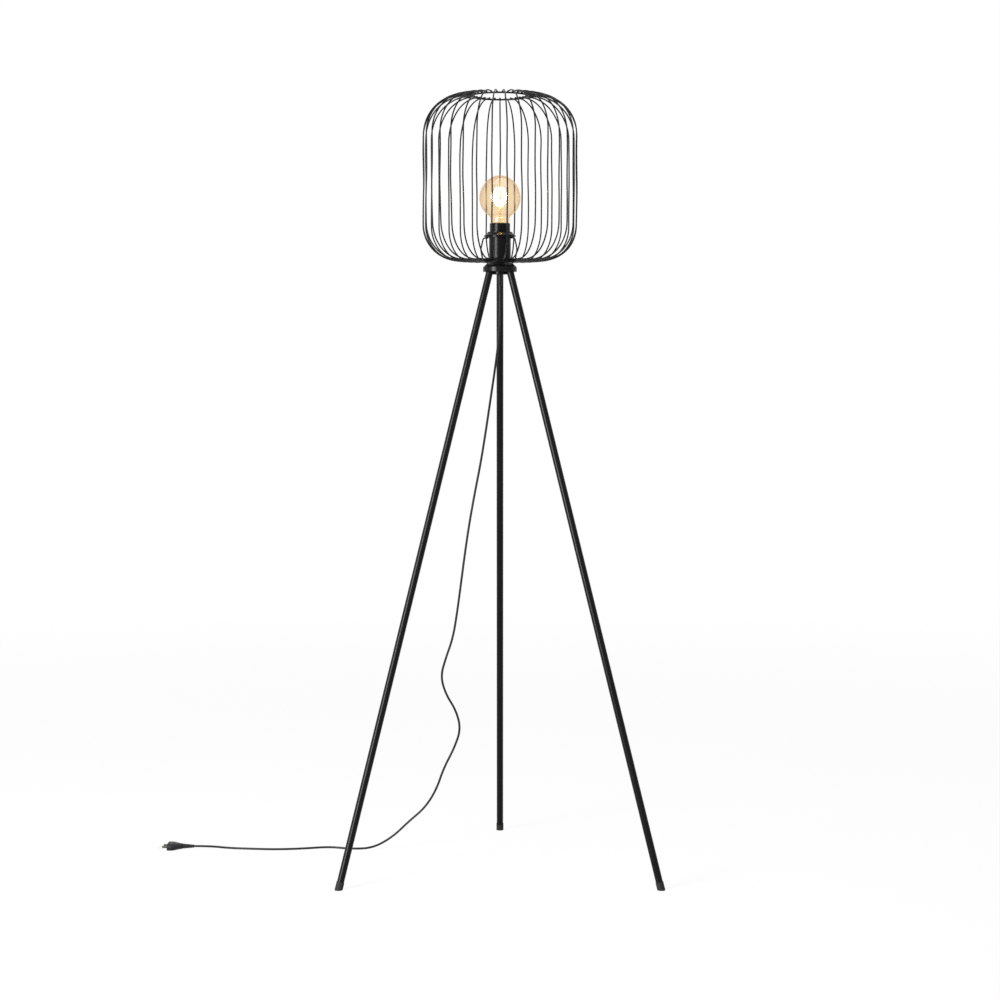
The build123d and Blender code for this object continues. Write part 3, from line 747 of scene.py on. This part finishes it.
def grown(name, shape, guide, inputs):
    """Run a shape's nodes on a guide and keep the result as a plain mesh piece."""
    maker = bpy.data.objects.new(name + " maker", guide)
    bpy.context.collection.objects.link(maker)
    nodes = maker.modifiers.new("shape", "NODES")
    nodes.node_group = shape
    for item in shape.interface.items_tree:
        if item.in_out == "INPUT" and item.name in inputs:
            nodes[item.identifier] = inputs[item.name]
    ready = maker.evaluated_get(bpy.context.evaluated_depsgraph_get())
    mesh = bpy.data.meshes.new_from_object(ready)
    mesh.name = name
    mesh.shade_smooth()
    bpy.data.objects.remove(maker)
    piece = bpy.data.objects.new(name, mesh)
    bpy.context.collection.objects.link(piece)
    return piece


cage = grown(
    "cage_of_bent_wires",
    cage_shape,
    wire_guide,
    {
        "Wires": cage_wires,
        "Wire radius": wire_radius,
        "First angle": radians(first_azimuth),
        "Top corner": top_corner,
        "Bottom corner": bottom_corner,
        "Angle error": radians(wire_angle_error),
        "Wander": wire_wander,
        "Seed": wander_seed,
        "Top weld": (top_ring_radius, 0.0, top_ring_height + ring_wire_radius),
        "Bottom weld": (bottom_ring_radius, 0.0, bottom_ring_height + ring_wire_radius),
        "Weld size": weld_bead_size,
        "Finish": powder_coat,
    },
)
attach(cage, "stand")
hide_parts(*[f"cage_wires_{group:02d}" for group in range(1, 12)])

dress(powder_coat, "top_ring", "bottom_ring", "carrier_ring", "carrier_arms")

# ---------------------------------------------------------------- bulb glass
# Blown globe of thin amber glass on a short neck. The tint is even, and looks deeper where
# the wall is seen edge on. A faint painted glow, standing in for the lit filaments' bloom, shines
# from the glass, most where the wall faces the viewer.

amber, place = start_finish("amber glass")
edge_on = place.node("ShaderNodeLayerWeight", {}, {"Blend": 0.5}, "Facing")
deep = rise(edge_on + grain(place, 0.03, 1.0) * 0.04, 0.35, 1.0)
thin = place.node("ShaderNodeBsdfTransparent", {}, {"Color": (0.965, 0.90, 0.805, 1.0)})
thick = place.node("ShaderNodeBsdfTransparent", {}, {"Color": (0.915, 0.80, 0.655, 1.0)})
through = place.node("ShaderNodeMixShader", {}, {0: deep, 1: thin, 2: thick})
gloss = {"Color": (1.0, 0.97, 0.92, 1.0), "Roughness": 0.03}
polish = place.node("ShaderNodeBsdfGlossy", {}, gloss)
# Painted glow: the glass gives off a warm light of its own, strongest where the wall faces the
# viewer.
painted_glow = place.node("ShaderNodeEmission", {}, {"Color": (1.0, 0.82, 0.52, 1.0), "Strength": 1.0})
painted_glow_share = (1.0 - rise(edge_on, 0.04, 0.50)) * 0.22
through = place.node("ShaderNodeMixShader", {}, {0: painted_glow_share, 1: through, 2: painted_glow})
glance = 0.03 + edge_on.maths("POWER", edge_on, 5.0) * 0.6
glass_mix = place.node("ShaderNodeMixShader", {}, {0: glance, 1: through, 2: polish})
place.node("ShaderNodeOutputMaterial", {}, {"Surface": glass_mix})
dress(amber, "bulb_glass")

# ---------------------------------------------------------------- filaments
# Four light-emitting rods in a soft yellow coat, bowed outwards round the stem's top, on gilt
# support wires. Two lead wires bring the current up through the clear glass stem.

filament_radius = 0.0012
filament_low_circle = 0.004
filament_high_circle = 0.007
filament_bow = 0.006
filament_foot = 1.2803
filament_top = 1.3133
filament_steps = 14
filament_first_angle = 22.5
filament_count = 4
filament_chip_step = 0.0012

glow, place = start_finish("glowing filament coat")
height_up = place.node("ShaderNodeSeparateXYZ", {}, {"Vector": place}, "Z")
chips = height_up.maths("SINE", height_up * (2 * pi / filament_chip_step)) * 0.5 + 0.5
light_colour = tint(chips, (1.0, 0.70, 0.36), (1.0, 0.80, 0.50))
end_finish(
    light_colour,
    0.5 + chips * 0.1,
    chips,
    0.00002,
    {"Emission Color": light_colour, "Emission Strength": 110.0},
)

filament_inputs = {
    "Rods": "NodeSocketInt",
    "Rod radius": "NodeSocketFloat",
    "First angle": "NodeSocketFloat",
    "Finish": "NodeSocketMaterial",
}
filament_shape, given = start_shape("ring of filaments", filament_inputs)
rod = given.node("GeometryNodeMeshToCurve", {}, {"Mesh": given.output("Geometry")})
rod = swept(rod, given.output("Rod radius"), sides=16)
number = given.node("GeometryNodeInputIndex", {}, {})
turn = number / given.output("Rods") * (2 * pi) + given.output("First angle")
end_shape(set_round(rod, turn, given.output("Rods")), given.output("Finish"))

rod_guide = bpy.data.meshes.new("rod guide")
rod_line = []
for step in range(filament_steps + 1):
    share = step / filament_steps
    reach = filament_low_circle + (filament_high_circle - filament_low_circle) * share
    reach += filament_bow * 4 * share * (1 - share)
    rod_line.append((reach, 0.0, filament_foot + (filament_top - filament_foot) * share))
rod_guide.from_pydata(rod_line, [(step, step + 1) for step in range(filament_steps)], [])
filaments = grown(
    "filament_rods",
    filament_shape,
    rod_guide,
    {
        "Rods": filament_count,
        "Rod radius": filament_radius,
        "First angle": radians(filament_first_angle),
        "Finish": glow,
    },
)
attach(filaments, "bulb")
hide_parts("bulb_filaments")

gilt, place = start_finish("gilt support wire")
cloud = grain(place, 0.003, 2.0)
end_finish(
    tint(cloud, (0.80, 0.48, 0.16), (0.92, 0.66, 0.30)),
    0.26 + cloud * 0.12,
    grain(place, 0.0006, 2.0),
    0.00002,
    {"Metallic": 0.35},
)
dress(gilt, "bulb_supports")

clear, place = start_finish("clear stem glass")
rim = place.node("ShaderNodeLayerWeight", {}, {"Blend": 0.5}, "Facing")
see_through = place.node("ShaderNodeBsdfTransparent", {}, {"Color": (0.99, 0.96, 0.90, 1.0)})
gloss = {"Color": (1.0, 0.98, 0.95, 1.0), "Roughness": 0.05}
stem_gloss = place.node("ShaderNodeBsdfGlossy", {}, gloss)
stem_glance = 0.04 + rim.maths("POWER", rim, 3.0) * 0.7 + grain(place, 0.004, 2.0) * 0.03
stem_mix = place.node("ShaderNodeMixShader", {}, {0: stem_glance, 1: see_through, 2: stem_gloss})
# Painted glow: the clear stem gives off a faint warm light of its own, standing in for the
# filaments' light that falls in it.
painted_stem_glow = place.node("ShaderNodeEmission", {}, {"Color": (1.0, 0.78, 0.40, 1.0), "Strength": 1.0})
painted_glow_share_of_stem = 0.34
stem_mix = place.node("ShaderNodeMixShader", {}, {0: painted_glow_share_of_stem, 1: stem_mix, 2: painted_stem_glow})
place.node("ShaderNodeOutputMaterial", {}, {"Surface": stem_mix})
dress(clear, "bulb_stem")

lead_wire_radius = 0.00022
lead_wire_route = [
    (0.0080, 1.2372),
    (0.0055, 1.2420),
    (0.0016, 1.2520),
    (0.0014, 1.2700),
    (0.0020, 1.2745),
    (0.0040, 1.2798),
]
lead_wire_routes = []
for side in (-1.0, 1.0):
    lead_wire_routes.append([(side * out, 0.0, height) for out, height in lead_wire_route])
lead_wires = round_line(
    "stem_lead_wires", lead_wire_routes, lead_wire_radius, steps=8, roundness=2, finish=gilt
)
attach(lead_wires, "bulb")

# ---------------------------------------------------------------- bulb cap
# Rolled nickel-plated screw cap crimped on the glass, with a black glass insulator and a
# solder button at its foot.

cap_radius = 0.0132
cap_wall = 0.0004
cap_foot = 1.2133
cap_height = 0.0235
cap_thread_depth = 0.0009

nickel, place = start_finish("nickel plate")
cloud = grain(place, 0.004, 4.0)
end_finish(
    tint(cloud, (0.58, 0.56, 0.51), (0.72, 0.70, 0.66)),
    0.20 + cloud * 0.16,
    grain(place, 0.0007, 2.0),
    0.00002,
    {"Metallic": 1.0},
)
bulb_cap = rolled_thread(
    "rolled_bulb_cap", cap_radius, cap_wall, cap_foot, cap_height, cap_thread_depth
)
bulb_cap.data.materials.append(nickel)
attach(bulb_cap, "bulb")
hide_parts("bulb_cap")
dress(nickel, "bulb_contact")

dark_glass, place = start_finish("black glass")
cloud = grain(place, 0.005, 2.0)
end_finish(
    tint(cloud, (0.008, 0.008, 0.012), (0.020, 0.018, 0.026)),
    0.10 + cloud * 0.10,
    cloud,
    0.00008,
    {"Coat Weight": 0.4},
)
dress(dark_glass, "bulb_insulator")

# ---------------------------------------------------------------- floor and studio
# Plain pale floor running to a white surround, a tall soft lamp on the left in front and a
# broad one overhead.

floor_reach = 30.0
floor_height = -0.0003
floor_white_share = 0.92
fill_light = 0.28

floor_mesh = bpy.data.meshes.new("floor")
floor_mesh.from_pydata(
    [
        (-floor_reach, -floor_reach, floor_height),
        (floor_reach, -floor_reach, floor_height),
        (floor_reach, floor_reach, floor_height),
        (-floor_reach, floor_reach, floor_height),
    ],
    [],
    [(0, 1, 2, 3)],
)
floor = bpy.data.objects.new("floor", floor_mesh)
bpy.context.collection.objects.link(floor)


def seen_rays(field):
    """1 for what the camera sees straight, in a gloss or through glass, and 0 for light."""
    ray = field.node("ShaderNodeLightPath", {}, {}, "Is Camera Ray")
    seen = ray.maths("MAXIMUM", ray, ray.output("Is Glossy Ray"))
    return seen.maths("MAXIMUM", seen, ray.output("Is Transmission Ray"))


floor_paint, place = start_finish("pale floor")
cloud = grain(place, 0.9, 3.0)
pale = tint(cloud, (0.84, 0.84, 0.84), (0.87, 0.87, 0.87))
lit = place.node("ShaderNodeBsdfDiffuse", {}, {"Color": pale})
away = place.node("ShaderNodeVectorMath", {"operation": "LENGTH"}, {0: place}, "Value")
white = place.node("ShaderNodeEmission", {}, {"Color": (1.0, 1.0, 1.0, 1.0), "Strength": 1.0})
whiteness = floor_white_share + rise(away, 1.0, 5.0) * (1.0 - floor_white_share)
share = seen_rays(place) * whiteness
floor_mix = place.node("ShaderNodeMixShader", {}, {0: share, 1: lit, 2: white})
place.node("ShaderNodeOutputMaterial", {}, {"Surface": floor_mix})
floor_mesh.materials.append(floor_paint)

surround = bpy.data.worlds.new("white surround")
surround.use_nodes = True
surround.node_tree.nodes.clear()
air = Field(surround.node_tree)
strength = fill_light + seen_rays(air) * (1.0 - fill_light)
sky = air.node("ShaderNodeBackground", {}, {"Color": (1.0, 1.0, 1.0, 1.0), "Strength": strength})
air.node("ShaderNodeOutputWorld", {}, {"Surface": sky})
bpy.context.scene.world = surround

lamps = {
    "key softbox": ((-2.265, -2.345, 1.45), (0.0, 0.0, 1.45), 1.1, 2.4, 250.0),
    "overhead": ((0.3, -0.3, 3.6), (0.0, 0.0, 0.6), 2.4, 2.4, 48.0),
}
for name, (spot_at, target, width, height, power) in lamps.items():
    lamp_data = bpy.data.lights.new(name, "AREA")
    lamp_data.shape = "RECTANGLE"
    lamp_data.size = width
    lamp_data.size_y = height
    lamp_data.energy = power
    lamp = bpy.data.objects.new(name, lamp_data)
    lamp.location = spot_at
    aim = Vector(target) - Vector(spot_at)
    lamp.rotation_mode = "QUATERNION"
    lamp.rotation_quaternion = aim.to_track_quat("-Z", "Y")
    bpy.context.collection.objects.link(lamp)

bpy.context.scene.view_settings.view_transform = "Standard"
